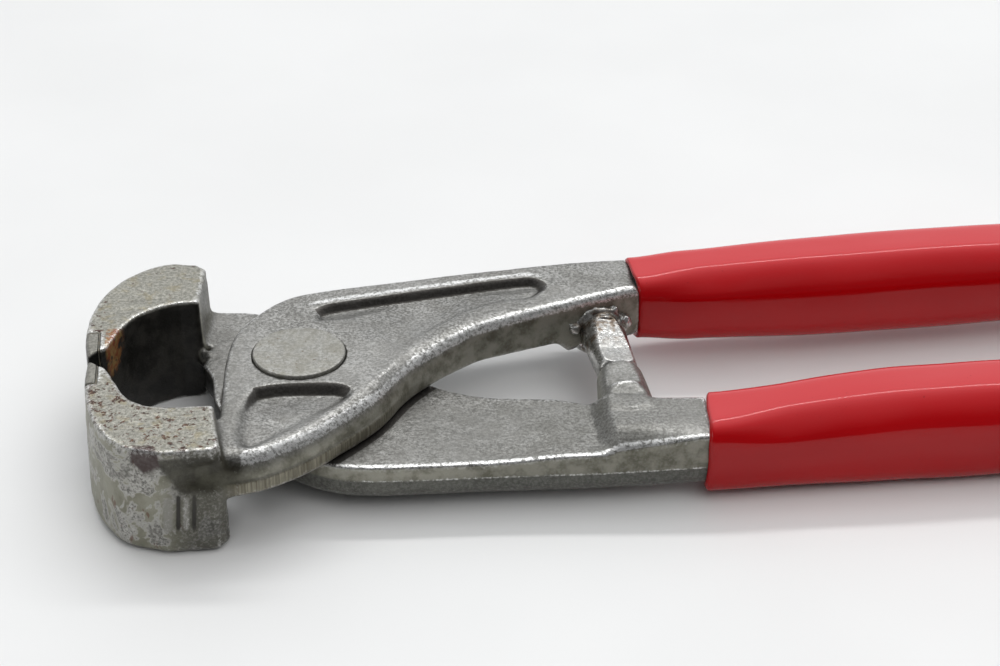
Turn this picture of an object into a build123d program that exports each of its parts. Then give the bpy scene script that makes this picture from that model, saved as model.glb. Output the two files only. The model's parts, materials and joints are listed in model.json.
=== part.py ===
"""Two-handed hoof nipper with inset cutting tips, a lap joint on one rivet, and dipped handles.

Millimetres, +Z up, +X from the head along the handles. The tool lies closed on its side: both jaws
stand on z = 0 and the two halves lap at mid height. Outlines are measured from the rivet's axis.
"""
import os

from build123d import *

os.makedirs("parts", exist_ok=True)

# Heights
HEAD_HEIGHT = 16.5
LAP_HEIGHT = HEAD_HEIGHT / 2
LAP_GAP = 0.2
PLATE_TOP = 14.2
PLATE_BOTTOM = HEAD_HEIGHT - PLATE_TOP
SHANK_HEIGHT = 9.2

# Rivet's axis in the part's frame, whose origin is under the middle of the whole tool
PIVOT_X, PIVOT_Y = -71.1, 0.55
PIVOT = Plane((PIVOT_X, PIVOT_Y, 0))

# Rivet
RIVET_SHANK_RADIUS = 5.0
RIVET_HEAD_RADIUS = 6.7
RIVET_HEAD_HEIGHT = 2.2
RIVET_PROUD = 0.3
RUNNING_CLEARANCE = 0.05
HEAD_UNDERSIDE = PLATE_TOP + RIVET_PROUD - RIVET_HEAD_HEIGHT

# Cutting tips, brazed into seats on the front of the jaws
SEAM_Y = -2.05
SEAM_GAP = 0.1
TIP_FRONT = -30.0
TIP_THICKNESS = 1.8
TIP_WIDTH = 6.4
TIP_BEVEL = 1.7
BRAZE = 0.25
SEAT_REACH = 7.4

# Handles: one row per station, as (x, y of the middle, half width of the grip)
GRIP_WALL = 1.3
GRIP_CORNER = 3.0
TANG_CORNER = 1.8
HANDLE_END = 172.8
GRIP_START_UPPER = 50.8
GRIP_START_LOWER = 55.3
UPPER_STATIONS = [
    (50.3, 18.1, 5.8), (62, 18.1, 6.0), (78, 18.2, 6.4), (95, 19.0, 6.6),
    (118, 19.7, 6.4), (142, 19.8, 6.2), (160, 19.2, 6.2),
]
LOWER_STATIONS = [
    (54.5, -17.75, 5.8), (62, -17.6, 6.0), (78, -17.1, 6.4), (95, -16.9, 6.6),
    (118, -17.3, 6.4), (142, -18.0, 6.2), (160, -18.3, 6.2),
]
TANG_END = 164.0
TANG_END_NARROWS = 0.4
GRIP_TOE = 2.6

# Stops between the shanks
STOP_X = 45.7
STOP_MEET_Y = -1.4
STOP_GAP = 0.15
STOP_TIP_RADIUS = 2.5
STOP_BASE_RADIUS = 3.4
STOP_ROOT_Y = 14.0
WELD_RADIUS = 4.5
WELD_REACH = 4.2
WELD_TAPER = 12

# Outlines, each a list of stretches: three points or more are one smooth curve
UPPER_JAW = [
    [(-29.9, -2.3), (-30.2, -8.0), (-29.6, -14.5), (-28.0, -20.0), (-24.7, -24.8), (-19.2, -27.2)],
    [(-12.2, -27.2)], [(-10.7, -25.6)], [(-11.5, -16.4)], [(-13.4, -15.6)],
    [(-18.4, -15.6), (-22.0, -13.3), (-24.6, -9.2), (-26.3, -5.9)], [(-27.9, -3.9)],
]
LOWER_JAW = [
    [(-29.9, -1.8), (-30.5, 3.0), (-30.2, 9.6), (-28.4, 15.8), (-24.8, 21.0), (-21.2, 23.5), (-17.7, 24.5)],
    [(-14.0, 23.9)], [(-12.4, 21.9)], [(-13.6, 12.0)], [(-16.9, 11.7)],
    [(-19.8, 10.7), (-23.0, 8.5), (-25.2, 5.1), (-26.9, 0.2)], [(-27.9, -0.3)],
]
UPPER_PLATE = [
    [(-16, -25.8)],
    [(-9.4, -26.3), (-5.2, -25.0), (0.3, -21.8), (5.3, -17.6), (10.6, -12.3), (16.1, -4.4),
     (24.9, 3.4), (31.1, 6.4), (37.5, 8.8), (45.3, 11.4), (50.3, 12.8)],
    [(50.3, 23.3)],
    [(42.5, 23.0), (28.6, 21.5), (13.7, 19.4), (3.8, 17.9), (-1.2, 16.3), (-5.4, 12.5),
     (-9.0, 6.9), (-10.6, -0.7), (-11.2, -9.3), (-11.6, -16.4)],
    [(-16, -17)],
]
UPPER_SHANK = [[(39.5, 9.5), (45.3, 11.4), (50.3, 12.8)], [(50.3, 23.3)], [(42.5, 23.0), (39.5, 22.8)]]
LOWER_PLATE = [
    [(-16, 22.6)],
    [(-11.0, 22.9), (-5.5, 21.7), (0.6, 17.7), (8.2, 11.1), (14.2, 4.5), (18.8, -1.0),
     (24.2, -4.2), (29.7, -6.0), (35.3, -7.5), (43.0, -9.6)],
    [(43.0, -22.7)],
    [(26.6, -21.9), (12.8, -21.4), (7.3, -20.9), (3.2, -19.8), (-0.8, -17.4), (-5.1, -13.2),
     (-8.7, -8.1), (-10.8, -2.8), (-12.5, 2.6), (-14.2, 8.4)],
    [(-16, 13)],
]
LOWER_SHANK = [[(39.7, -9.0), (44.9, -11.9), (54.5, -12.6)], [(54.5, -22.9)], [(39.7, -22.6)]]
LONG_PANEL = [
    [(3.2, 9.6), (3.6, 13.0), (5.6, 13.9)],
    [(15.7, 15.6), (31.1, 17.6)],
    [(35.4, 17.5), (37.0, 14.6), (34.6, 11.6)],
    [(25.0, 8.6), (17.0, 4.0)],
    [(12.0, 6.5), (8.5, 8.5)],
]
SMALL_PANEL = [
    [(-6.6, -9.6), (-5.2, -9.0)], [(5.6, -10.0)], [(6.9, -12.0), (3.2, -17.6), (-5.0, -23.6)],
    [(-7.8, -23.0), (-8.6, -20.6)],
]
PANEL_DEPTH = 1.0


def outline(stretches):
    """Face bounded by the stretches, joined in turn and closed by a straight line."""
    with BuildLine() as border:
        last = stretches[-1][-1]
        for stretch in stretches:
            Line(last, stretch[0])
            if len(stretch) > 2:
                Spline(*stretch)
            elif len(stretch) == 2:
                Line(*stretch)
            last = stretch[-1]
    make_face(border.edges())


def slab(stretches, bottom, top, mode=Mode.ADD):
    """Flat solid of this outline between two heights."""
    with BuildSketch(PIVOT.offset(bottom)) as face:
        outline(stretches)
    extrude(face.sketch, amount=top - bottom, mode=mode)


def disc(radius, bottom, top, mode=Mode.ADD):
    """Cylinder on the rivet's axis between two heights."""
    with BuildSketch(PIVOT.offset(bottom)) as face:
        Circle(radius)
    extrude(face.sketch, amount=top - bottom, mode=mode)


def cross_section(x, y, z, half, corner):
    """Rounded square across a handle."""
    with BuildSketch(Plane((PIVOT_X + x, PIVOT_Y + y, z), x_dir=(0, 1, 0), z_dir=(1, 0, 0))) as section:
        RectangleRounded(2 * half, 2 * half, corner)
    return section.sketch.face()


def tang(stations, z):
    """Steel core of a handle, inside its grip."""
    sections = [cross_section(x, y, z, half - GRIP_WALL, TANG_CORNER) for x, y, half in stations]
    _, end_y, end_half = stations[-1]
    sections.append(cross_section(TANG_END, end_y, z, end_half - GRIP_WALL - TANG_END_NARROWS, TANG_CORNER))
    loft(sections)


def grip(stations, start, z):
    """Dipped sleeve over a handle, solid here and rounded at its end."""
    _, start_y, start_half = stations[0]
    _, end_y, end_half = stations[-1]
    sections = [cross_section(start, start_y, z, start_half, GRIP_CORNER)]
    sections += [cross_section(x, y, z, half, GRIP_CORNER) for x, y, half in stations[1:]]
    sections.append(cross_section(HANDLE_END, end_y, z, end_half, GRIP_CORNER))
    loft(sections)


def tip(side):
    """Cutting tip, a bevelled plate. side is 1 for the lower half's jaw and -1 for the upper half's."""
    edge = SEAM_Y + side * SEAM_GAP
    back = TIP_FRONT + TIP_THICKNESS
    with BuildSketch(PIVOT) as face:
        with BuildLine():
            Polyline(
                (TIP_FRONT, edge), (back, edge + side * TIP_BEVEL), (back, edge + side * TIP_WIDTH),
                (TIP_FRONT, edge + side * TIP_WIDTH), close=True,
            )
        make_face()
    extrude(face.sketch, amount=HEAD_HEIGHT)


def braze(side):
    """Filler metal behind a tip and along its outer end."""
    edge = SEAM_Y + side * SEAM_GAP
    back = TIP_FRONT + TIP_THICKNESS
    with BuildSketch(PIVOT) as face:
        with BuildLine():
            Polyline(
                (back, edge + side * TIP_BEVEL), (back + BRAZE, edge + side * TIP_BEVEL),
                (back + BRAZE, edge + side * (TIP_WIDTH + BRAZE)),
                (TIP_FRONT, edge + side * (TIP_WIDTH + BRAZE)),
                (TIP_FRONT, edge + side * TIP_WIDTH), (back, edge + side * TIP_WIDTH), close=True,
            )
        make_face()
    extrude(face.sketch, amount=HEAD_HEIGHT)


def seat_cut(side):
    """Step cut in the front of a jaw for its tip and filler."""
    depth = TIP_THICKNESS + BRAZE
    outer = SEAM_Y + side * (SEAM_GAP + TIP_WIDTH + BRAZE)
    with BuildSketch(PIVOT) as face:
        with Locations((TIP_FRONT + depth - SEAT_REACH / 2, outer - side * SEAT_REACH / 2)):
            Rectangle(SEAT_REACH, SEAT_REACH)
    extrude(face.sketch, amount=HEAD_HEIGHT, mode=Mode.SUBTRACT)


def stop_peg(base_y, tip_y):
    """Round tapered peg across the gap between the shanks."""
    way = 1 if tip_y > base_y else -1
    ends = []
    for y, radius in ((base_y, STOP_BASE_RADIUS), (tip_y, STOP_TIP_RADIUS)):
        with BuildSketch(Plane((PIVOT_X + STOP_X, PIVOT_Y + y, LAP_HEIGHT), z_dir=(0, way, 0))) as end:
            Circle(radius)
        ends.append(end.sketch.face())
    loft(ends)


# Half with the near jaw and the far handle, on top at the lap
UPPER_SHANK_Z = PLATE_TOP - SHANK_HEIGHT / 2
with BuildPart() as upper_half:
    slab(UPPER_JAW, 0, HEAD_HEIGHT)
    slab(UPPER_PLATE, LAP_HEIGHT + LAP_GAP / 2, PLATE_TOP)
    slab(UPPER_SHANK, PLATE_TOP - SHANK_HEIGHT, PLATE_TOP)
    tang(UPPER_STATIONS, UPPER_SHANK_Z)
    seat_cut(-1)
    slab(LONG_PANEL, PLATE_TOP - PANEL_DEPTH, PLATE_TOP + 1, mode=Mode.SUBTRACT)
    slab(SMALL_PANEL, PLATE_TOP - PANEL_DEPTH, PLATE_TOP + 1, mode=Mode.SUBTRACT)
    disc(RIVET_SHANK_RADIUS + RUNNING_CLEARANCE, 0, HEAD_HEIGHT, Mode.SUBTRACT)
    disc(RIVET_HEAD_RADIUS + RUNNING_CLEARANCE, HEAD_UNDERSIDE - RUNNING_CLEARANCE, HEAD_HEIGHT, Mode.SUBTRACT)
upper_half.part.label = "upper_half"

# Half with the far jaw and the near handle, underneath at the lap
LOWER_SHANK_Z = PLATE_BOTTOM + SHANK_HEIGHT / 2
with BuildPart() as lower_half:
    slab(LOWER_JAW, 0, HEAD_HEIGHT)
    slab(LOWER_PLATE, PLATE_BOTTOM, LAP_HEIGHT - LAP_GAP / 2)
    slab(LOWER_SHANK, PLATE_BOTTOM, PLATE_BOTTOM + SHANK_HEIGHT)
    tang(LOWER_STATIONS, LOWER_SHANK_Z)
    stop_peg(-STOP_ROOT_Y, STOP_MEET_Y - STOP_GAP / 2)
    seat_cut(1)
    disc(RIVET_SHANK_RADIUS, 0, HEAD_HEIGHT, Mode.SUBTRACT)
    disc(RIVET_HEAD_RADIUS, 0, PLATE_BOTTOM + RIVET_HEAD_HEIGHT, Mode.SUBTRACT)
lower_half.part.label = "lower_half"

# Rivet, its ends spread into both counterbores
with BuildPart() as pivot_rivet:
    disc(RIVET_HEAD_RADIUS, PLATE_BOTTOM, PLATE_BOTTOM + RIVET_HEAD_HEIGHT)
    disc(RIVET_SHANK_RADIUS, PLATE_BOTTOM, PLATE_TOP)
    disc(RIVET_HEAD_RADIUS, HEAD_UNDERSIDE, HEAD_UNDERSIDE + RIVET_HEAD_HEIGHT)
    fillet(pivot_rivet.faces().sort_by(Axis.Z)[-1].edges(), 0.25)
pivot_rivet.part.label = "pivot_rivet"

# Cutting tips
with BuildPart() as upper_tip:
    tip(-1)
upper_tip.part.label = "upper_tip"

with BuildPart() as lower_tip:
    tip(1)
lower_tip.part.label = "lower_tip"

# Filler metal that holds the tips
with BuildPart() as upper_braze:
    braze(-1)
upper_braze.part.label = "upper_braze"

with BuildPart() as lower_braze:
    braze(1)
lower_braze.part.label = "lower_braze"

# Dipped sleeves
with BuildPart() as upper_grip:
    grip(UPPER_STATIONS, GRIP_START_UPPER, UPPER_SHANK_Z)
    fillet(upper_grip.faces().sort_by(Axis.X)[-1].edges(), GRIP_TOE)
    add(upper_half.part, mode=Mode.SUBTRACT)
upper_grip.part.label = "upper_grip"

with BuildPart() as lower_grip:
    grip(LOWER_STATIONS, GRIP_START_LOWER, LOWER_SHANK_Z)
    fillet(lower_grip.faces().sort_by(Axis.X)[-1].edges(), GRIP_TOE)
    add(lower_half.part, mode=Mode.SUBTRACT)
lower_grip.part.label = "lower_grip"

# Stop stud welded to the upper shank, and its bead
with BuildPart() as upper_stop:
    stop_peg(STOP_ROOT_Y, STOP_MEET_Y + STOP_GAP / 2)
    add(upper_half.part, mode=Mode.SUBTRACT)
upper_stop.part.label = "upper_stop"

with BuildPart() as stop_weld:
    with BuildSketch(Plane((PIVOT_X + STOP_X, PIVOT_Y + STOP_ROOT_Y, LAP_HEIGHT), z_dir=(0, -1, 0))):
        Circle(WELD_RADIUS)
    extrude(amount=WELD_REACH, taper=WELD_TAPER)
    add(upper_half.part, mode=Mode.SUBTRACT)
    add(upper_stop.part, mode=Mode.SUBTRACT)
stop_weld.part.label = "stop_weld"

PIECES = [
    upper_half, lower_half, pivot_rivet, upper_tip, lower_tip, upper_braze, lower_braze,
    upper_grip, lower_grip, upper_stop, stop_weld,
]
for piece in PIECES:
    export_step(piece.part, f"parts/{piece.part.label}.step")
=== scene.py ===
"""Looks of the hoof nipper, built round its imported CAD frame.

Shapes are in millimetres from the rivet's axis at floor level, with +X along the handles and +Z up.
Each forging is a signed distance field, negative inside, turned into a mesh on a fine grid.
"""

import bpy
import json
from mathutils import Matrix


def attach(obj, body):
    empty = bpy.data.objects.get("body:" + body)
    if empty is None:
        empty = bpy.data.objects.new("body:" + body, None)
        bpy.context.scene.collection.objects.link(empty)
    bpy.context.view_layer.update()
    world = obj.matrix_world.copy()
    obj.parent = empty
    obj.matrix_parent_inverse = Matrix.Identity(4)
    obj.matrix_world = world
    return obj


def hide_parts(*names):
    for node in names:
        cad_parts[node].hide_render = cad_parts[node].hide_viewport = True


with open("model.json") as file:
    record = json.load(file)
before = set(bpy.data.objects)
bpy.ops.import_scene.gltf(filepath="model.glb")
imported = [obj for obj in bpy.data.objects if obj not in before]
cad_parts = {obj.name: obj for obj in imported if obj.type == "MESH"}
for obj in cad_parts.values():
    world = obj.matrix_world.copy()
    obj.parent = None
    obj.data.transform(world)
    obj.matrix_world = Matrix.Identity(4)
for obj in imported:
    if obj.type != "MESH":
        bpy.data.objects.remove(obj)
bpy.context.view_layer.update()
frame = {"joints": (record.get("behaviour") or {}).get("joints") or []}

import json
import math

import bpy
import numpy as np
from mathutils import Matrix, Vector

PIVOT = Vector(frame["joints"][0]["pos_m"])
MM = 0.001

# Heights, as in the CAD
HEAD_HEIGHT = 16.5
PLATE_TOP = 14.2
PLATE_BOTTOM = HEAD_HEIGHT - PLATE_TOP
LAP_UPPER, LAP_LOWER = 8.35, 8.15
SHANK_HEIGHT = 9.2
UPPER_SHANK_BOTTOM = PLATE_TOP - SHANK_HEIGHT
LOWER_SHANK_TOP = PLATE_BOTTOM + SHANK_HEIGHT
UPPER_SHANK_Z = PLATE_TOP - SHANK_HEIGHT / 2
LOWER_SHANK_Z = PLATE_BOTTOM + SHANK_HEIGHT / 2
MID_HEIGHT = HEAD_HEIGHT / 2

# Cutting tips
SEAM_Y = -2.05
SEAM_GAP = 0.1
TIP_FRONT = -30.0
TIP_THICKNESS = 1.8
TIP_WIDTH = 6.4
BRAZE = 0.25

# Rivet
RIVET_RADIUS = 6.7
RIVET_SHANK_RADIUS = 5.0
RIVET_HEAD_HEIGHT = 2.2
RIVET_TOP = 14.5

# Stops
STOP_X = 45.7
STOP_MEET_Y = -1.4
STOP_GAP = 0.15
PEG_STEP_Y = -8.6

# Handles
HANDLE_END = 172.8
GRIP_START_UPPER = 51.4
GRIP_START_LOWER = 55.9
GRIP_WALL = 1.3
TANG_END = 164.0
UPPER_STATIONS = [
    (50.3, 18.1, 5.8), (62, 18.1, 6.0), (78, 18.2, 6.4), (95, 19.0, 6.6),
    (118, 19.7, 6.4), (142, 19.8, 6.2), (160, 19.2, 6.2),
]
LOWER_STATIONS = [
    (54.5, -17.75, 5.8), (62, -17.6, 6.0), (78, -17.1, 6.4), (95, -16.9, 6.6),
    (118, -17.3, 6.4), (142, -18.0, 6.2), (160, -18.3, 6.2),
]

# Outlines, each a list of stretches: three points or more are one smooth curve
UPPER_JAW = [
    [(-29.9, -1.0), (-30.2, -8.0), (-29.6, -14.5), (-28.0, -20.0), (-24.7, -24.8), (-19.2, -27.2)],
    [(-12.2, -27.2)], [(-10.7, -25.6)], [(-11.5, -16.4)], [(-12.5, -1.0)],
]
LOWER_JAW = [
    [(-29.9, -3.0), (-30.5, 3.0), (-30.2, 9.6), (-28.4, 15.8), (-24.8, 21.0), (-21.2, 23.5),
     (-17.7, 24.5)],
    [(-14.0, 23.9)], [(-12.4, 21.9)], [(-13.6, 12.0)], [(-14.5, -3.0)],
]
MOUTH = [
    [(-29.8, SEAM_Y)], [(-28.1, -3.7)],
    [(-27.0, -4.7), (-26.3, -6.2), (-25.0, -10.0), (-23.9, -12.4), (-21.6, -14.6), (-18.4, -15.6)],
    [(-8.0, -15.7)],
    [(-8.0, 11.8)], [(-16.9, 11.8), (-19.8, 10.8), (-23.1, 8.6), (-25.3, 5.1), (-27.0, 0.3)],
    [(-28.2, -0.4)],
]
UPPER_PLATE = [
    [(-16, -25.6)],
    [(-9.4, -26.2), (-5.2, -25.0), (0.3, -21.8), (5.3, -17.6), (10.6, -12.3), (16.1, -4.4),
     (24.9, 3.4), (31.1, 6.4), (37.5, 8.8), (45.3, 11.4), (50.3, 12.8), (52.0, 13.2)],
    [(52.0, 22.9), (50.3, 23.0), (42.5, 22.8), (28.6, 21.4), (13.7, 19.4), (3.8, 17.9), (-1.2, 16.3),
     (-5.4, 12.5), (-9.0, 6.9), (-10.6, -0.7), (-11.2, -9.3), (-11.6, -16.4)],
    [(-16, -17)],
]
LOWER_PLATE = [
    [(-16, 22.4)],
    [(-11.0, 22.7), (-5.5, 21.6), (0.6, 17.6), (8.2, 11.0), (14.2, 4.4), (18.8, -1.0), (24.2, -4.2),
     (29.7, -6.0), (35.3, -7.5), (39.9, -9.3), (44.9, -11.8), (54.5, -12.8), (56.5, -12.9)],
    [(56.5, -22.6), (54.5, -22.6), (42.0, -22.6), (26.6, -21.9), (12.8, -21.4), (7.3, -20.9), (3.2, -19.8),
     (-0.8, -17.4), (-5.1, -13.2), (-9.4, -8.4), (-12.2, -2.6), (-12.7, 4.0), (-14.0, 7.6)],
    [(-13.4, 9.8)], [(-12.7, 12.6)], [(-16, 14)],
]
LONG_PANEL = [
    [(1.4, 8.0), (1.6, 11.6), (3.4, 13.4), (15.7, 15.7), (31.2, 18.2), (36.4, 18.3), (38.2, 15.6),
     (36.6, 12.2)],
    [(31.5, 9.8), (27.5, 8.0), (23.0, 5.0), (18.9, 1.8), (15.2, -2.2), (12.2, -6.4)],
    [(9.0, -4.0), (9.6, 2.0), (6.0, 7.0)],
]
SMALL_PANEL = [
    [(-7.0, -8.0), (-3.0, -7.3), (2.0, -7.6), (5.6, -8.2), (7.4, -10.0), (6.8, -12.6), (3.5, -16.8),
     (-1.0, -20.3), (-5.8, -22.9), (-9.0, -23.0), (-10.2, -19.6), (-9.4, -13.0)],
]


# ---- fields

# Side of the block of random lumps, which holds the whole steel part
LUMP_SPAN = 150.0


class Grid:
    """A block of points, with its coordinates as arrays that broadcast together."""

    def __init__(self, low, high, step):
        self.low, self.step = np.array(low, float), step
        axes = [np.arange(a, b + step, step) for a, b in zip(low, high)]
        self.x, self.y, self.z = np.meshgrid(*axes, indexing="ij", sparse=True)
        self.plan_x, self.plan_y = np.meshgrid(axes[0], axes[1], indexing="ij")

    def plan(self, outline):
        """Signed distance from a closed outline, seen from above."""
        points = np.array(outline)
        ends = np.roll(points, -1, axis=0)
        nearest = np.full(self.plan_x.shape, 1e9)
        inside = np.zeros(self.plan_x.shape, bool)
        for (ax, ay), (bx, by) in zip(points, ends):
            dx, dy = bx - ax, by - ay
            px, py = self.plan_x - ax, self.plan_y - ay
            along = np.clip((px * dx + py * dy) / (dx * dx + dy * dy), 0, 1)
            nearest = np.minimum(nearest, (px - along * dx) ** 2 + (py - along * dy) ** 2)
            if dy:
                crosses = (ay > self.plan_y) != (by > self.plan_y)
                inside ^= crosses & (px < py / dy * dx)
        distance = np.sqrt(nearest)
        return np.where(inside, -distance, distance)[:, :, None]


def smooth_curve(points, steps=10):
    """Points along a Catmull-Rom curve through these ones."""
    p = np.array([points[0], *points, points[-1]], float)
    p[0], p[-1] = 2 * p[1] - p[2], 2 * p[-2] - p[-3]
    curve = []
    for a, b, c, d in zip(p, p[1:], p[2:], p[3:]):
        for t in np.arange(steps) / steps:
            curve.append(0.5 * (2 * b + (c - a) * t + (2 * a - 5 * b + 4 * c - d) * t ** 2
                                + (3 * b - a - 3 * c + d) * t ** 3))
    return [*curve, p[-2]]


def trace(stretches):
    """Closed outline from its stretches."""
    points = []
    for stretch in stretches:
        points += smooth_curve(stretch) if len(stretch) > 2 else [np.array(q, float) for q in stretch]
    return points


def join(a, b, blend):
    """Union with a soft fillet."""
    h = np.maximum(blend - np.abs(a - b), 0) / blend
    return np.minimum(a, b) - h * h * blend / 4


def meet(a, b, blend):
    """Intersection with a soft edge."""
    return -join(-a, -b, blend)


def rounded(out, up, edge):
    """Slab of two distances that each have the edge's radius added."""
    return np.minimum(np.maximum(out, up), 0) + np.hypot(np.maximum(out, 0), np.maximum(up, 0)) - edge


def prism(plan, z, bottom, top, bottom_edge, top_edge):
    """Slab over a plan distance, with rounded rims."""
    middle, half = (top + bottom) / 2, (top - bottom) / 2
    edge = np.where(z > middle, top_edge, bottom_edge)
    return rounded(plan + edge, np.abs(z - middle) - half + edge, edge)


def cone(grid, start, end, start_radius, end_radius, edge):
    """Round tapered peg between two points, with a rounded end."""
    start, end = np.array(start, float), np.array(end, float)
    axis = end - start
    length = np.linalg.norm(axis)
    axis = axis / length
    px, py, pz = grid.x - start[0], grid.y - start[1], grid.z - start[2]
    along = px * axis[0] + py * axis[1] + pz * axis[2]
    across = np.sqrt(np.maximum(px ** 2 + py ** 2 + pz ** 2 - along ** 2, 0))
    radius = start_radius + (end_radius - start_radius) * np.clip(along / length, 0, 1)
    return rounded(across - radius + edge, np.abs(along - length / 2) - length / 2 + edge, edge)


def ball(grid, centre, radii):
    """Ellipsoid."""
    q = [(axis - c) / r for axis, c, r in zip((grid.x, grid.y, grid.z), centre, radii)]
    return (np.sqrt(q[0] ** 2 + q[1] ** 2 + q[2] ** 2) - 1) * min(radii)


def box(grid, low, high):
    """Sharp block."""
    sides = [np.maximum(a - axis, axis - b) for axis, a, b in zip((grid.x, grid.y, grid.z), low, high)]
    return np.maximum(np.maximum(sides[0], sides[1]), sides[2])


def lumps(grid, wavelength, seed):
    """Smooth random field between -1 and 1, the same wherever the grid starts."""
    rng = np.random.default_rng(seed)
    lattice = rng.uniform(-1, 1, [int(LUMP_SPAN / wavelength) + 3] * 3)
    for number, axis in enumerate((grid.x, grid.y, grid.z)):
        place = (axis.ravel() + LUMP_SPAN / 2) / wavelength
        cell = np.floor(place).astype(int)
        t = place - cell
        shape = [1, 1, 1]
        shape[number] = -1
        weight = (t * t * (3 - 2 * t)).reshape(shape)
        low, high = np.take(lattice, cell, axis=number), np.take(lattice, cell + 1, axis=number)
        lattice = low * (1 - weight) + high * weight
    return lattice


def step_up(value, start, end):
    """0 before start, 1 after end, smooth between them."""
    t = np.clip((value - start) / (end - start), 0, 1)
    return t * t * (3 - 2 * t)


def step_down(value, start, end):
    """1 before start, 0 after end."""
    return 1 - step_up(value, start, end)


def bell(value, middle, width):
    """1 at the middle, falling away on both sides."""
    return np.exp(-((value - middle) / width) ** 2)


# ---- meshes

def sample(field, grid, points):
    """Field at any points, by linear interpolation."""
    place = (points - grid.low) / grid.step
    cell = np.clip(np.floor(place).astype(int), 0, np.array(field.shape) - 2)
    t = place - cell
    total = np.zeros(len(points))
    for corner in np.ndindex(2, 2, 2):
        weight = np.prod(np.where(corner, t, 1 - t), axis=1)
        total += weight * field[tuple((cell + corner).T)]
    return total


def slope(field, grid, points):
    """Unit normals and gradient lengths at points."""
    g = np.zeros((len(points), 3))
    for axis in range(3):
        shift = np.zeros(3)
        shift[axis] = grid.step
        ahead, behind = sample(field, grid, points + shift), sample(field, grid, points - shift)
        g[:, axis] = (ahead - behind) / (2 * grid.step)
    length = np.maximum(np.linalg.norm(g, axis=1), 1e-6)
    return g / length[:, None], length


def surface(field, grid):
    """Vertices and quads of the field's zero surface, one vertex in each cell that it crosses."""
    inside = field < 0
    count = sum(
        inside[tuple(slice(c, n - 1 + c) for c, n in zip(corner, field.shape))].astype(np.int8)
        for corner in np.ndindex(2, 2, 2)
    )
    cells = np.argwhere((count > 0) & (count < 8))
    corners = np.array(list(np.ndindex(2, 2, 2)))
    values = np.stack([field[tuple((cells + c).T)] for c in corners], axis=1)
    total, crossings = np.zeros((len(cells), 3)), np.zeros(len(cells))
    for i, j in ((i, j) for i in range(8) for j in range(i) if np.abs(corners[i] - corners[j]).sum() == 1):
        a, b = values[:, i], values[:, j]
        hit = (a < 0) != (b < 0)
        t = np.where(hit, a / np.where(hit, a - b, 1), 0)[:, None]
        total += hit[:, None] * (corners[i] * (1 - t) + corners[j] * t)
        crossings += hit
    index = np.full(count.shape, -1)
    index[tuple(cells.T)] = np.arange(len(cells))
    quads = []
    for axis in range(3):
        u, v = np.eye(3, dtype=int)[(axis + 1) % 3], np.eye(3, dtype=int)[(axis + 2) % 3]
        before = np.take(inside, range(inside.shape[axis] - 1), axis=axis)
        after = np.take(inside, range(1, inside.shape[axis]), axis=axis)
        edges = np.argwhere(before != after)
        leaving = before[tuple(edges.T)]
        around = [index[tuple((edges - w).T)] for w in (u + v, v, 0 * u, u)]
        quad = np.stack(around, axis=1)
        quads.append(np.where(leaving[:, None], quad, quad[:, ::-1]))
    points = grid.low + (cells + total / crossings[:, None]) * grid.step
    for _ in range(2):
        normal, length = slope(field, grid, points)
        points = points - np.clip(sample(field, grid, points) / length, -0.4, 0.4)[:, None] * normal
    return points, np.concatenate(quads)


def blurred(field, cells):
    """Box average over a few cells each way."""
    for axis in range(3):
        pad = [(0, 0)] * 3
        pad[axis] = (cells + 1, cells)
        sums = np.cumsum(np.pad(field, pad, mode="edge"), axis=axis)
        size = field.shape[axis]
        high = np.take(sums, range(2 * cells + 1, 2 * cells + 1 + size), axis=axis)
        field = (high - np.take(sums, range(size), axis=axis)) / (2 * cells + 1)
    return field


def new_object(name, points, faces, marks=None):
    """Smooth-shaded mesh object from millimetre points, with named values at its vertices."""
    mesh = bpy.data.meshes.new(name)
    points = (np.asarray(points, float) * MM + np.array([PIVOT.x, PIVOT.y, 0.0])).tolist()
    mesh.from_pydata(points, [], [tuple(int(i) for i in face) for face in faces])
    mesh.polygons.foreach_set("use_smooth", [True] * len(mesh.polygons))
    for key, values in (marks or {}).items():
        mesh.attributes.new(key, "FLOAT", "POINT").data.foreach_set("value", np.asarray(values, np.float32))
    mesh.update()
    thing = bpy.data.objects.new(name, mesh)
    bpy.context.scene.collection.objects.link(thing)
    return thing


# How far round a place its edges and hollows are felt
EDGE_REACH = 0.9


def field_object(name, field, grid, extra_marks=None):
    """Object of a field's surface, marked with how worn, how hollow and how steep each place is."""
    points, quads = surface(field, grid)
    cells = max(1, round(EDGE_REACH / grid.step))
    bend = sample(blurred(field, cells) - field, grid, points) / EDGE_REACH
    normal, _ = slope(field, grid, points)
    marks = {"wear": np.clip(bend, 0, 1), "hollow": np.clip(-bend, 0, 1), "wall": 1 - np.abs(normal[:, 2])}
    for key, mark in (extra_marks or {}).items():
        marks[key] = mark(points, normal)
    return new_object(name, points, quads, marks)


# ---- steel pieces

STEP = 0.27
FINE_STEP = 0.14
DRAFT = 0.035
BORE_RADIUS = RIVET_RADIUS + 0.06
PARTING_HEIGHT = 6.0
BAND_TOP = 10.5

# Near edge of the upper plate, with the rim rolled over it
NEAR_EDGE = np.array([(-16, -26.0), *UPPER_PLATE[1][:-1], (60, 13.8)]).T

# Trimming marks on the near jaw, as (x, half width, depth), ridges below 0
RIBS = ((-18.4, 0.8, -0.16), (-17.15, 0.34, 0.42), (-16.1, 0.5, -0.14), (-15.05, 0.32, 0.4))
RIB_LEAN, RIB_MIDDLE = 0.07, 9.7


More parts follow.
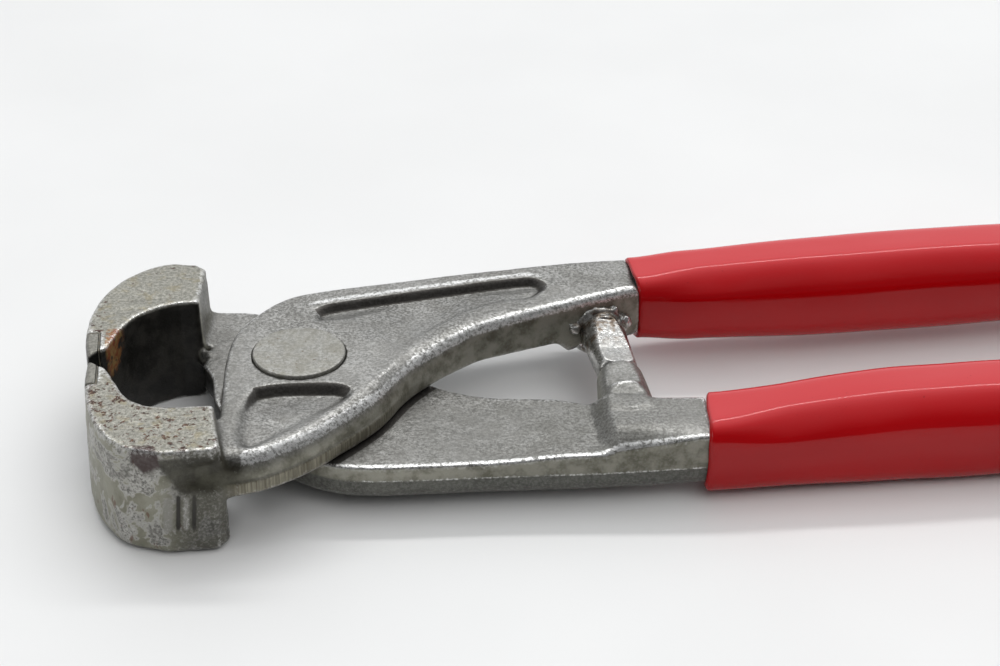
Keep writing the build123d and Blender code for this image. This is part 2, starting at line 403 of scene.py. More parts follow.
def seat_box(grid, side, gap=0.0):
    """Block for a tip at a jaw's front. side is 1 on the lower half's jaw and -1 on the upper's."""
    seam = SEAM_Y + side * SEAM_GAP
    edges = sorted((seam - side * 3, seam + side * (TIP_WIDTH + gap)))
    return box(grid, (-40, edges[0], -5), (TIP_FRONT + TIP_THICKNESS + gap, edges[1], 25))


def mouth_side(grid):
    """How far inside the mouth a place is: positive in the opening."""
    return -grid.plan(trace(MOUTH))


def skin(grid, fine=1.0):
    """Uneven forged surface."""
    return fine * (0.035 * lumps(grid, 4.3, 3) + 0.022 * lumps(grid, 1.5, 4))


def within_height(z, field):
    """Field with nothing below the floor or above the jaws."""
    return np.maximum(field, np.maximum(-z, z - HEAD_HEIGHT))


def jaw_field(grid, outline, past_seam):
    """Either jaw before its own details. past_seam is positive beyond the middle of the bite."""
    plan = grid.plan(trace(outline)) + DRAFT * grid.z + 0.075 * lumps(grid, 7.0, 8)
    jaw = prism(plan, grid.z, 0, HEAD_HEIGHT, 1.8, 0.7)
    return np.maximum(meet(jaw, mouth_side(grid), 0.6), past_seam)


def upper_jaw_field(grid):
    """Near jaw, with the scoop under its top edge and the ribs of the trimming below it."""
    x, y, z = grid.x, grid.y, grid.z
    jaw = jaw_field(grid, UPPER_JAW, y - (SEAM_Y - SEAM_GAP))
    scoop = ball(grid, (-11.2, -30.2, 12.5), (8.6, 4.9, 3.4))
    jaw = meet(jaw, -scoop, 0.8)
    tall = step_up(z, 3.4, 4.6) * step_down(z, 9.2, 10.2) * step_up(-y, 20, 24)
    for middle, width, depth in RIBS:
        jaw = jaw + depth * tall * bell(x + RIB_LEAN * (RIB_MIDDLE - z), middle, width)
    return jaw + skin(grid, 1.6)


def lower_jaw_field(grid):
    """Far jaw."""
    return jaw_field(grid, LOWER_JAW, SEAM_Y + SEAM_GAP - grid.y) + skin(grid, 1.6)


def hollow(grid, outline, depth, wall, soft_wall, softness):
    """How deep a pressed panel is at each place in plan. softness is 1 where its wall is gentle."""
    width = wall + (soft_wall - wall) * softness
    return depth * step_up(-grid.plan(outline) / width, 0, 1)


def upper_half_field(grid):
    """Near jaw, upper plate and far shank."""
    x, y, z = grid.x, grid.y, grid.z
    from_near_edge = y - np.interp(x, *NEAR_EDGE)
    near = step_down(from_near_edge, 3.5, 6.5)
    rim = np.interp(x, (-10, 12, 30, 42), (3.5, 3.4, 2.2, 1.5)) * near + 1.0 * (1 - near)
    above = np.maximum(z - BAND_TOP, 0)
    trimmed = near * step_down(x, 10, 20)
    outline = grid.plan(trace(UPPER_PLATE)) + (0.05 + 0.04 * near) * above
    outline = outline + 0.24 * trimmed * step_up(z, BAND_TOP - 0.15, BAND_TOP + 0.15)
    foot = 0.25 + 2.0 * step_up(x, 38, 43)
    body = prism(outline, z, UPPER_SHANK_BOTTOM, PLATE_TOP, foot, rim)
    underside = np.interp(x, (20, 37), (LAP_UPPER, LAP_UPPER - 0.9))
    underside = underside - (LAP_UPPER - 0.9 - UPPER_SHANK_BOTTOM + 0.3) * step_up(x, 38.2, 42.0)
    body = meet(body, underside - z, 0.5)

    # The long panel is sharp along its far side only, the small one along its top
    away = np.hypot(x, y)
    far_side = np.interp(x, (1.4, 15.7, 31.2, 38), (12.8, 15.7, 18.2, 18.3))
    far_wall = step_up(y - far_side, -7, -1.5)
    soft = (1 - step_up(from_near_edge, 4.5, 9.5) * step_up(away, 12.6, 15.5)) * (1 - far_wall)
    soft = np.maximum(soft, 0.6 * step_down(x, 1.5, 5.5))
    depth = (0.35 + 0.65 * step_up(away, 11, 21)) * (0.4 + 0.6 * step_up(from_near_edge, 4, 12))
    end_wall = step_up(x, 29, 35)
    soft = soft * (1 - 0.75 * end_wall)
    depth = 1.25 * np.maximum(np.maximum(depth, far_wall), 0.8 * end_wall)
    dip = hollow(grid, trace(LONG_PANEL), depth, 1.5, 5.5, soft)
    soft = step_down(y, -15.5, -9.5) * (0.3 + 0.7 * step_up(x, -7.5, -2.5))
    dip = dip + hollow(grid, trace(SMALL_PANEL), 1.5 - 0.5 * soft, 1.9, 3.6, soft)
    body = meet(body, z - (PLATE_TOP - dip), 0.8)
    body = join(body, upper_jaw_field(grid), 1.6) + skin(grid)
    body = np.maximum(body, np.minimum(LAP_UPPER - z, np.minimum(20 - x, x + 9)))
    bore = np.maximum(away - BORE_RADIUS, LAP_UPPER - 1 - z)
    return within_height(z, np.maximum(np.maximum(body, -bore), -seat_box(grid, -1, BRAZE)))


def lower_half_field(grid):
    """Far jaw, lower plate and near shank with its peg."""
    x, y, z = grid.x, grid.y, grid.z
    below = np.maximum(PARTING_HEIGHT - z, 0)
    flash = 0.16 * bell(z, PARTING_HEIGHT, 0.25) * step_up(x, 0, 6)
    shoulder = 0.4 + 0.5 * step_up(-x, 5, 9)
    outline = grid.plan(trace(LOWER_PLATE)) + 0.06 * below - flash
    body = prism(outline, z, PLATE_BOTTOM, LOWER_SHANK_TOP, 2.3, shoulder)
    lap = LAP_LOWER + 0.8 * step_up(x, 24, 38)
    edge_height = np.interp(x, (41, 54), (9.4, 10.9))
    fall = np.clip((-18.6 - y) / 4.0, 0, 1.1) ** 1.6
    shank_top = LOWER_SHANK_TOP - (LOWER_SHANK_TOP - edge_height) * fall
    body = meet(body, z - lap - (shank_top - lap) * step_up(x, 40.0, 43.4), 0.45)
    tip = (STOP_X + 0.6, STOP_MEET_Y - STOP_GAP / 2, MID_HEIGHT)
    peg = cone(grid, (STOP_X, -15, MID_HEIGHT), tip, 4.4, 3.3, 1.8)
    sloping = np.maximum(12.3 + 0.32 * (y - PEG_STEP_Y), LOWER_SHANK_TOP)
    flat_top = np.where(y > PEG_STEP_Y, 11.3 + 0.1 * (x - STOP_X), sloping)
    body = join(body, meet(peg, z - flat_top, 0.25), 0.7)
    body = join(body, ball(grid, (-12.9, 10.7, 6.9), (1.6, 1.4, 1.25)), 0.3)
    body = join(body, lower_jaw_field(grid), 1.8) + skin(grid)
    bore = np.maximum(np.hypot(x, y) - BORE_RADIUS, z - LAP_LOWER - 1)
    return within_height(z, np.maximum(np.maximum(body, -bore), -seat_box(grid, 1, BRAZE)))


def plan_mark(grid, outline):
    """Plan distance from an outline, ready to read at points."""
    flat = grid.plan(outline)
    return np.broadcast_to(flat, (*flat.shape[:2], grid.z.size))


def forging_marks(grid):
    """What the materials need to know at each vertex."""
    outlines = MOUTH, LONG_PANEL, SMALL_PANEL, UPPER_PLATE, LOWER_PLATE
    mouth, panel, small_panel, upper_plan, lower_plan = (plan_mark(grid, trace(o)) for o in outlines)

    def steep(normal, low=0.35, high=0.75):
        return step_up(1 - np.abs(normal[:, 2]), low, high)

    def from_near_edge(points):
        return points[:, 1] - np.interp(points[:, 0], *NEAR_EDGE)

    def from_far_ridge(points):
        return points[:, 1] - 0.16 * points[:, 0]

    def in_mouth(points, normal):
        return step_down(sample(mouth, grid, points), 0.2, 0.8) * steep(normal)

    def crown(points, normal):
        return step_up(points[:, 2], 15.6, 16.2) * step_up(normal[:, 2], 0.3, 0.8)

    def cheek(points, normal):
        outside = (sample(mouth, grid, points) > 1.5) * step_down(points[:, 0], -10.5, -9)
        return outside * steep(normal, 0.2, 0.6)

    # Painted shade in the scoop under the near jaw's top edge
    def scoop(points, normal):
        x, y, z = points.T
        along = (x + 20.6) * 0.87 + (z - 15.6) * 0.49
        height = step_up(z, 9.3, 10.3) * step_down(z, 15.2, 15.9)
        near = step_down(y, -24, -20) * step_down(x, -10, -6)
        return step_up(along, 0, 0.9) * height * near * steep(normal, 0.1, 0.4)

    def ribs(points, normal):
        """Above 0.5 on the ridges and below it in the grooves."""
        x, y, z = points.T
        along = x + RIB_LEAN * (RIB_MIDDLE - z)
        tall = step_up(z, 3.6, 4.6) * step_down(z, 9.2, 10) * (y < -20)
        ridge = bell(along, -18.5, 0.75) + 0.8 * bell(along, -16.1, 0.5)
        groove = bell(along, -17.15, 0.32) + bell(along, -15.05, 0.32)
        return 0.5 + 0.5 * tall * np.clip(ridge - groove, -1, 1)

    def panel_wall_shade(points, normal):
        """Painted shade on the walls of both panels that face the near side, and on the long panel's right
        end.
        """
        x, _, z = points.T
        shaded = np.maximum(-normal[:, 1], -normal[:, 0] * step_up(x, 28, 32))
        facing = step_up(shaded, 0.12, 0.35) * step_up(z, 12.6, 12.9) * step_down(z, 13.95, 14.15)
        inside = (from_near_edge(points) > np.where(x < 8, 3.5, 5.5)) * (x < 45)
        return facing * inside * step_up(x, -8.6, -7.6)

    def band(points, normal):
        x, y, z = points.T
        height = step_up(z, LAP_UPPER - 0.1, LAP_UPPER + 0.1) * step_down(z, BAND_TOP - 0.1, BAND_TOP + 0.1)
        return height * steep(normal) * step_up(x, -12, -9) * step_down(x, 8, 18) * (y < 6)

    def rim(points, normal):
        """Crests that everything rubs against, with painted highlights along them as well."""
        x, y, z = points.T
        middle, width = np.interp(x, (15, 35), (1.6, 0.9)), np.interp(x, (15, 35), (1.2, 0.75))
        upper = bell(from_near_edge(points), middle, width) * step_up(z, 12.0, 13.0) * step_up(x, -9.5, -8)
        seam = bell(z, PARTING_HEIGHT, 0.25) * step_up(x, 4, 8) * (y < -12) * steep(normal)
        lap_edge = bell(sample(lower_plan, grid, points), -0.45, 0.5) * step_up(normal[:, 2], 0.2, 0.6)
        lap_edge = lap_edge * (y < -17) * (z > 7.5) * (z < LOWER_SHANK_TOP + 0.1) * step_up(x, 2, 6)
        # The panel ridge's crest and the foot of its wall carry painted highlights
        inset, ridge = sample(panel, grid, points), from_far_ridge(points)
        crest = bell(inset, 0.75, 0.55) * step_up(ridge, 9.5, 11.5)
        foot = bell(inset, -1.7, 0.25) * step_up(ridge, 8.5, 10.5)
        ridges = (0.75 * crest + 0.3 * foot) * (z > 12.5) * step_up(x, -1, 5) * step_down(x, 36, 39)
        return np.clip(0.9 * upper + 0.45 * seam + 0.9 * lap_edge + ridges, 0, 1)

    def calm(points, normal):
        """Where nothing rubs: round the rivet, at the panels' lips and on the slope up to the shank."""
        x, y, z = points.T
        ring = step_down(np.abs(np.hypot(x, y) - RIVET_RADIUS), 0.5, 1.3)
        beside = step_down(np.abs(sample(small_panel, grid, points)), 1.6, 2.4) * (z > 12)
        beside = beside * step_up(from_near_edge(points), 3.2, 4.5)
        slope_up = step_up(x, 38.5, 39.5) * step_down(x, 46, 49) * (z > 7.5)
        slope_up = slope_up * step_up(y, -21.6, -20.4) * (y < -12)
        lip = step_down(np.abs(sample(panel, grid, points) + 0.3), 0.9, 1.4)
        lip = lip * (z > 12) * (from_far_ridge(points) > 9.5)
        return np.max([ring, beside, slope_up, lip], axis=0)

    def lap_shadow(points, normal):
        """Painted shadow of the upper plate on the lower one, along the edge where it laps it."""
        _, y, z = points.T
        beside = sample(upper_plan, grid, points)
        low = (z < LAP_LOWER + 0.3) * (z > 6) * step_up(normal[:, 2], 0.3, 0.8)
        return step_down(beside, 0.5, 1.1) * step_up(beside, -1.0, -0.3) * low * step_up(14 - y, 0, 6)

    def stain(points, normal):
        x, y, z = points.T
        return bell(np.hypot(x + 25.9, y - 2.6), 0, 2.9) * step_up(z, 8.5, 14) * step_up(x, -27.6, -26.9)

    return {"mouth": in_mouth, "crown": crown, "cheek": cheek, "scoop": scoop, "band": band, "rim": rim,
            "calm": calm, "stain": stain, "ribs": ribs, "panel_wall_shade": panel_wall_shade, "lap_shadow": lap_shadow}


def tip_field(grid, jaw, side):
    """Tip ground flush with its jaw."""
    return within_height(grid.z, meet(jaw, seat_box(grid, side), 0.12))


def braze_field(grid, jaw, side):
    """Filler between a tip and its seat, a little below the jaw's surface."""
    return np.maximum(np.maximum(jaw + 0.04, seat_box(grid, side, BRAZE)), -seat_box(grid, side))


def stud_field(grid):
    """Welded stop stud, tapering to its ground tip."""
    y, z = grid.y, grid.z
    tip = (STOP_X + 0.6, STOP_MEET_Y + STOP_GAP / 2, MID_HEIGHT)
    stud = cone(grid, (STOP_X, 14, MID_HEIGHT), tip, 3.5, 3.0, 1.2)
    ground = np.minimum(z - 10.5 + 0.1 * (grid.x - STOP_X) - 0.12 * np.maximum(y - 2.6, 0), 9.5 - y)
    return np.maximum(stud, ground) + 0.8 * skin(grid)


def weld_field(grid):
    """Rough bead round the stud's foot."""
    dx, dz = grid.x - STOP_X, grid.z - MID_HEIGHT
    turn = np.arctan2(dz, dx)
    thick = 0.95 + 0.25 * np.cos(turn - 2.7) + 0.18 * np.sin(3 * turn + 0.6)
    ring = 3.35 + 0.25 * np.cos(turn - 2.9) - 0.25 * np.sin(turn)
    bead = np.hypot(np.hypot(dx, dz) - ring, (grid.y - 11.9) * 0.8) - thick
    for x, y, z, radius in ((-4.9, 11.0, 2.6, 0.8), (-4.3, 10.2, 1.3, 0.7), (4.1, 11.4, 1.0, 0.7)):
        bead = join(bead, ball(grid, (STOP_X + x, y, MID_HEIGHT + z), (radius, radius * 1.4, radius)), 1.3)
    bead = meet(bead, -ball(grid, (STOP_X - 4.4, 9.9, MID_HEIGHT + 3.0), (0.7, 1.0, 0.8)), 0.4)
    return bead + 0.34 * lumps(grid, 1.5, 11) + 0.16 * lumps(grid, 0.7, 12)


def make_tip(half, jaw_of, low_y, side):
    """Tip and braze of one half."""
    grid = Grid((-31.2, low_y, -0.6), (-27.2, low_y + 8, 17.1), FINE_STEP)
    jaw = jaw_of(grid)
    tip = field_object(half + "_tip_plate", tip_field(grid, jaw, side), grid, forging_marks(grid))
    return tip, field_object(half + "_braze_line", braze_field(grid, jaw, side), grid)


def make_forging(name, field_of, low, high):
    """One half's forging."""
    grid = Grid(low, high, STEP)
    return field_object(name, field_of(grid), grid, forging_marks(grid))


upper_half = make_forging("upper_half_forging", upper_half_field, (-31.6, -28.6, -0.9), (53.0, 24.6, 17.4))
lower_half = make_forging("lower_half_forging", lower_half_field, (-31.6, -24.2, -0.9), (57.5, 25.6, 17.4))
upper_tip, upper_braze = make_tip("upper", upper_jaw_field, -9.6, -1)
lower_tip, lower_braze = make_tip("lower", lower_jaw_field, -2.6, 1)
stud_grid = Grid((STOP_X - 7, -2, 2), (STOP_X + 7, 15, 14.6), FINE_STEP)
upper_stop = field_object("upper_stop_stud", stud_field(stud_grid), stud_grid)
stop_weld = field_object("stop_weld_bead", weld_field(stud_grid), stud_grid)


def lathe(name, profile, count=160):
    """Solid turned round the rivet's axis, from (radius, height) pairs between two points on the axis."""
    points, faces = [(0, 0, profile[0][1])], []
    for radius, height in profile[1:-1]:
        points += [(radius * math.cos(a), radius * math.sin(a), height)
                   for a in np.linspace(0, 2 * math.pi, count, endpoint=False)]
    points.append((0, 0, profile[-1][1]))
    rings, last = len(profile) - 2, len(points) - 1
    for k in range(count):
        n = (k + 1) % count
        faces.append((0, 1 + n, 1 + k))
        faces.append((last, last - count + k, last - count + n))
        for ring in range(rings - 1):
            a = 1 + ring * count
            faces.append((a + k, a + n, a + count + n, a + count + k))
    return new_object(name, points, faces)


def rivet_profile():
    """Both heads with softened rims, and the shank between them."""
    rim, soft, low, high = RIVET_RADIUS - 0.05, 0.3, PLATE_BOTTOM, RIVET_TOP
    turns = [math.radians(a) for a in range(0, 91, 15)]
    bottom = [(rim - soft + soft * math.sin(t), low + soft - soft * math.cos(t)) for t in turns]
    top = [(rim - soft + soft * math.cos(t), high - 0.06 - soft + soft * math.sin(t)) for t in turns]
    flat = [(r, high - 0.06 * (r / rim) ** 2) for r in (5.4, 4.0, 2.5, 1.0)]
    neck = [(rim, low + RIVET_HEAD_HEIGHT), (RIVET_SHANK_RADIUS, low + RIVET_HEAD_HEIGHT),
            (RIVET_SHANK_RADIUS, high - RIVET_HEAD_HEIGHT), (rim, high - RIVET_HEAD_HEIGHT)]
    return [(0, low), (3, low), *bottom, *neck, *top, *flat, (0, high)]


rivet = lathe("pivot_rivet_turned", rivet_profile())


# ---- handles

GRIP_CORNER = 3.2
TANG_CORNER = 1.8
FAR_DRAFT, UPPER_DRAFT, LOWER_DRAFT, CROWNING = 0.05, 0.68, 0.05, 0.03
DRAFT_START = 2.8
TOE, TOE_INSET = 4.2, 3.4
BORE_SLACK, TANG_SLACK, TANG_END_SLACK = 0.02, 0.05, 0.4

# Distance from a grip's middle line beyond which a point is on its outside, and on its lip
GRIP_OUTSIDE, LIP_OUTSIDE = 4.6, 3.7
RIPPLE_DEPTH, RIPPLE_WAVES = 0.11, 7


def handle_section(half, corner, draft, arc=8, side=8):
    """Points round a handle: a rounded square, drafted each way from its middle height."""
    points = []
    for quarter in range(4):
        turn = quarter * math.pi / 2
        for t in np.linspace(0, math.pi / 2, arc, endpoint=False):
            flat = half - corner
            points.append((flat + corner * math.cos(t), flat + corner * math.sin(t), turn))
        for t in np.linspace(half - corner, corner - half, side, endpoint=False):
            points.append((t, half, turn))
    points = [(c * math.cos(turn) - d * math.sin(turn), c * math.sin(turn) + d * math.cos(turn))
              for c, d, turn in points]
    drafted = []
    for across, up in points:
        steep = UPPER_DRAFT if across < 0 else FAR_DRAFT
        lean = steep * max(up - DRAFT_START, 0) / half if up > 0 else -LOWER_DRAFT * up / half
        crown = CROWNING * draft * (across / half) ** 2 * abs(up)
        drafted.append((across * (1 - draft * lean), up - math.copysign(crown, up)))
    return drafted


def tube(stations):
    """Closed skin over stations, each (x, y, z, half width, corner radius, share of the draft)."""
    rings, faces = [], []
    for x, y, z, half, corner, draft in stations:
        rings += [(x, y + a, z + b) for a, b in handle_section(half, min(corner, half * 0.98), draft)]
    count = len(rings) // len(stations)
    for ring in range(len(stations) - 1):
        for k in range(count):
            here, beside = ring * count + k, ring * count + (k + 1) % count
            faces.append((here, beside, beside + count, here + count))
    last = (len(stations) - 1) * count
    faces.append(tuple(last + k for k in range(count)))
    faces.append(tuple(reversed(range(count))))
    return rings, faces


def smooth_station(stations, x):
    """Middle and half width of a handle at x, without kinks at the stations."""
    xs = np.linspace(x - 7, x + 7, 9)
    table = np.array(stations).T
    return np.interp(xs, table[0], table[1]).mean(), np.interp(xs, table[0], table[2]).mean()


def grip_rows(stations, start, z, thin):
    """Stations of a sleeve, from the blind end of its bore out to the lip and along to its toe."""
    def drafted(x):
        return 0.2 + 0.8 * float(step_up(x, start, start + 12))

    def outer(x):
        y, half = smooth_station(stations, x)
        return y, half - thin * (1 - float(step_up(x, start, start + 9)))

    rows = []
    for x in (TANG_END + 0.1, 140, 115, 90, start + 4, start + 0.7):
        y, half = smooth_station(stations, x)
        rows.append((x, y, z, half - GRIP_WALL + BORE_SLACK, TANG_CORNER, drafted(x)))
    y, half = outer(start)
    lip = (GRIP_WALL - thin) / 2 + 0.1
    for turn in np.linspace(-80, 80, 9):
        t = math.radians(turn)
        x, width = start + lip - lip * math.cos(t), half - lip + lip * math.sin(t)
        rows.append((x, y, z, width, GRIP_CORNER - 0.6, 0.2))
    for x in np.linspace(start + 1.2, HANDLE_END - TOE, 130):
        y, half = outer(x)
        rows.append((x, y, z, half, GRIP_CORNER - 0.6 * (1 - drafted(x)), drafted(x)))
    y, half = smooth_station(stations, HANDLE_END)
    for turn in np.linspace(10, 90, 10):
        t = math.radians(turn)
        x, width = HANDLE_END - TOE + TOE * math.sin(t), half - TOE_INSET * (1 - math.cos(t))
        rows.append((x, y, z, width, GRIP_CORNER, 1))
    return rows


def ripple(points, round_turn, seed):
    """Soft waves along and round a grip, between -1 and 1."""
    rng = np.random.default_rng(seed)
    total = np.zeros(len(points))
    for _ in range(RIPPLE_WAVES):
        length, turns = rng.uniform(9, 34), rng.integers(1, 4)
        wave = points[:, 0] / length * 2 * math.pi + turns * round_turn + rng.uniform(0, 6.3)
        total += np.sin(wave) / RIPPLE_WAVES
    return total


def make_grip(half_name, stations, start, z, seed, thin, slant, lift):
    """Dipped sleeve: closed bore, rounded lip, long soft body and a domed toe.

    thin is taken off the wall at the lip, slant is the lip's lean along X for each millimetre of Y,
    and lift is how much higher the body's top is than the lip's.
    """
    points, faces = tube(grip_rows(stations, start, z, thin))
    points = np.array(points)
    centre = np.array([smooth_station(stations, x)[0] for x in points[:, 0]])
    out = np.stack([np.zeros(len(points)), points[:, 1] - centre, points[:, 2] - z], axis=1)
    reach = np.linalg.norm(out, axis=1)
    round_turn = np.arctan2(out[:, 2], out[:, 1])
    outside = reach > GRIP_OUTSIDE
    swell = RIPPLE_DEPTH * (ripple(points, round_turn, seed) - 0.5)
    points += (outside * swell / reach)[:, None] * out
    raised = step_up(points[:, 0], start + 2, start + 28) * lift
    points[:, 2] += outside * raised * step_up(points[:, 2] - z, -2, 5)
    near_lip = np.exp(-np.maximum(points[:, 0] - start, 0) / 3.0)
    wobble = 0.08 * np.sin(round_turn * 2 + seed) + 0.05 * np.sin(round_turn * 5 + 2 * seed)
    points[:, 0] += near_lip * (wobble + slant * (points[:, 1] - centre)) * (reach > LIP_OUTSIDE)
    return new_object(half_name + "_grip_sleeve", points, faces)


def make_tang(half_name, stations, grip_start, z):
    """Bare steel end inside a grip."""
    rows = []
    for x in (*np.linspace(grip_start + 0.4, TANG_END - 1, 30), TANG_END):
        y, half = smooth_station(stations, x)
        slack = TANG_END_SLACK if x == TANG_END else TANG_SLACK
        rows.append((x, y, z, half - GRIP_WALL - slack, TANG_CORNER, 1))
    points, faces = tube(rows)
    return new_object(half_name + "_tang_bar", points, faces)


upper_place = "upper", UPPER_STATIONS, GRIP_START_UPPER, UPPER_SHANK_Z
lower_place = "lower", LOWER_STATIONS, GRIP_START_LOWER, LOWER_SHANK_Z
upper_grip = make_grip(*upper_place, seed=1, thin=0.55, slant=-0.08, lift=0.5)
lower_grip = make_grip(*lower_place, seed=2, thin=0.1, slant=0.15, lift=1.3)
upper_tang, lower_tang = make_tang(*upper_place), make_tang(*lower_place)


# ---- camera, light and floor

CAMERA_FROM_PIVOT = Vector((-4.0, -252.0, 171.4)) * MM
CAMERA_YAW, CAMERA_PITCH, CAMERA_ROLL = (math.radians(a) for a in (7.44, 31.5, -0.81))
LENS = 74.5


def make_camera():
    """Camera that looks down along the handles' near side."""
    forward = Vector((
        math.sin(CAMERA_YAW) * math.cos(CAMERA_PITCH), math.cos(CAMERA_YAW) * math.cos(CAMERA_PITCH),
        -math.sin(CAMERA_PITCH),
    ))
    right = Vector((math.cos(CAMERA_YAW), -math.sin(CAMERA_YAW), 0))
    down = forward.cross(right)
    across = math.cos(CAMERA_ROLL) * right + math.sin(CAMERA_ROLL) * down
    drop = math.cos(CAMERA_ROLL) * down - math.sin(CAMERA_ROLL) * right
    camera = bpy.data.objects.new("camera", bpy.data.cameras.new("camera"))
    camera.data.lens = LENS
    camera.data.clip_start, camera.data.clip_end = 0.01, 20
    place = Vector((PIVOT.x, PIVOT.y, 0)) + CAMERA_FROM_PIVOT
    turned = Matrix((across, -drop, -forward)).transposed().to_4x4()
    camera.matrix_world = Matrix.Translation(place) @ turned
    bpy.context.scene.collection.objects.link(camera)
    bpy.context.scene.camera = camera


def make_light(name, place, size, power, mirrored=True):
    """Soft rectangular lamp aimed at the tool. mirrored is whether glossy things show it."""
    data = bpy.data.lights.new(name, "AREA")
    data.shape, data.size, data.size_y, data.energy = "RECTANGLE", *size, power
    lamp = bpy.data.objects.new(name, data)
    lamp.location = place
    lamp.rotation_euler = (-Vector(place)).to_track_quat("-Z", "Y").to_euler()
    lamp.visible_glossy = mirrored
    bpy.context.scene.collection.objects.link(lamp)


make_camera()
make_light("key", (0.05, 0.62, 0.95), (1.5, 0.09), 5.0)
make_light("overhead", (0.35, -0.15, 1.0), (1.2, 1.2), 4.4, mirrored=False)
make_light("front", (0.2, -0.8, 0.95), (1.4, 0.6), 4.4, mirrored=False)
make_light("left", (-1.1, -0.3, 0.45), (0.5, 0.5), 1.3)

floor_mesh = bpy.data.meshes.new("floor")
floor_mesh.from_pydata([(-3, -3, 0), (3, -3, 0), (3, 3, 0), (-3, 3, 0)], [], [(0, 1, 2, 3)])
floor = bpy.data.objects.new("floor", floor_mesh)
bpy.context.scene.collection.objects.link(floor)


# ---- materials

RANGE_SOCKETS = "From Min", "From Max", "To Min", "To Max"


def wire(tree, socket, value):
    """Link a value to the socket, or set it to a constant."""
    if isinstance(value, Value):
        tree.links.new(value.socket, socket)
    elif isinstance(value, tuple) and socket.type == "RGBA":
        socket.default_value = (*value, 1)
    else:
        socket.default_value = value


def make_node(tree, node_type, inputs, output=0, **settings):
    """Output of a new node. inputs are its sockets' values or constants."""
    node = tree.nodes.new(node_type)
    for name, setting in settings.items():
        setattr(node, name, setting)
    for socket, value in inputs.items():
        wire(tree, node.inputs[socket], value)
    return Value(tree, node.outputs[output])


class Value:
    """Number, colour or vector from a node, with short ways to feed it into others."""

    def __init__(self, tree, socket):
        self.tree, self.socket = tree, socket

    def math(self, operation, a, b):
        return make_node(self.tree, "ShaderNodeMath", {0: a, 1: b}, operation=operation)

    def __add__(self, other):
        return self.math("ADD", self, other)

    def __sub__(self, other):
        return self.math("SUBTRACT", self, other)

    def __rsub__(self, other):
        return self.math("SUBTRACT", other, self)

    def __mul__(self, other):
        return self.math("MULTIPLY", self, other)

    def or_more(self, other):
        """The greater of this and the other."""
        return self.math("MAXIMUM", self, other)

    def vector(self, operation, other, output=0):
        return make_node(self.tree, "ShaderNodeVectorMath", {0: self, 1: other}, output, operation=operation)

    def part(self, axis):
        return make_node(self.tree, "ShaderNodeSeparateXYZ", {0: self}, axis)

    def ramp(self, low, high, to_low=0.0, to_high=1.0):
        """This taken smoothly from one range to another."""
        inputs = {"Value": self, **dict(zip(RANGE_SOCKETS, (low, high, to_low, to_high)))}
        return make_node(self.tree, "ShaderNodeMapRange", inputs, "Result", interpolation_type="SMOOTHSTEP")

    def between(self, a, b):
        """Colour a where this is 0 and b where it is 1."""
        return make_node(self.tree, "ShaderNodeMix", {"Factor": self, 6: a, 7: b}, 2, data_type="RGBA")

    def tones(self, low, high, a, b):
        """Colour a where this is low and b where it is high."""
        return self.ramp(low, high).between(a, b)

    def tinted(self, value, low, high, most, tint):
        """This colour under a tint, from none of it where the value is low to most where it is high."""
        return value.ramp(low, high, 0, most).between(self, tint)


class Look:
    """Node material. Places come in millimetres."""

    def __init__(self, name):
        self.material = bpy.data.materials.new(name)
        self.material.use_nodes = True
        self.tree = self.material.node_tree
        metres = make_node(self.tree, "ShaderNodeTexCoord", {}, "Object")
        self.place = metres.vector("MULTIPLY", (1 / MM, 1 / MM, 1 / MM))

    def mark(self, name):
        """A value that the mesh has at its vertices."""
        return make_node(self.tree, "ShaderNodeAttribute", {}, "Fac", attribute_name=name)

    def noise(self, size, detail=3.0, rough=0.55, stretch=(1, 1, 1), twist=0.0):
        """Noise whose lumps are about size millimetres across."""
        place = self.place.vector("MULTIPLY", tuple(1 / s for s in stretch))
        inputs = {"Vector": place, "Scale": 1 / size, "Detail": detail}
        inputs.update({"Roughness": rough, "Distortion": twist})
        return make_node(self.tree, "ShaderNodeTexNoise", inputs, "Fac")

    def bump(self, height, depth, after=None):
        """Bump of a height between 0 and 1 that stands for depth millimetres."""
        inputs = {"Height": height, "Strength": 1, "Distance": depth * MM}
        if after:
            inputs["Normal"] = after
        return make_node(self.tree, "ShaderNodeBump", inputs, "Normal")

    def finished(self, **sockets):
        """The material, with these values in its shader."""
        for name, value in sockets.items():
            wire(self.tree, self.tree.nodes["Principled BSDF"].inputs[name.replace("_", " ")], value)
        return self.material


# A rusty bruise on the near jaw's top edge, in millimetres in the frame
BRUISE_PLACE = (-92.5, -26.0, 15.6)


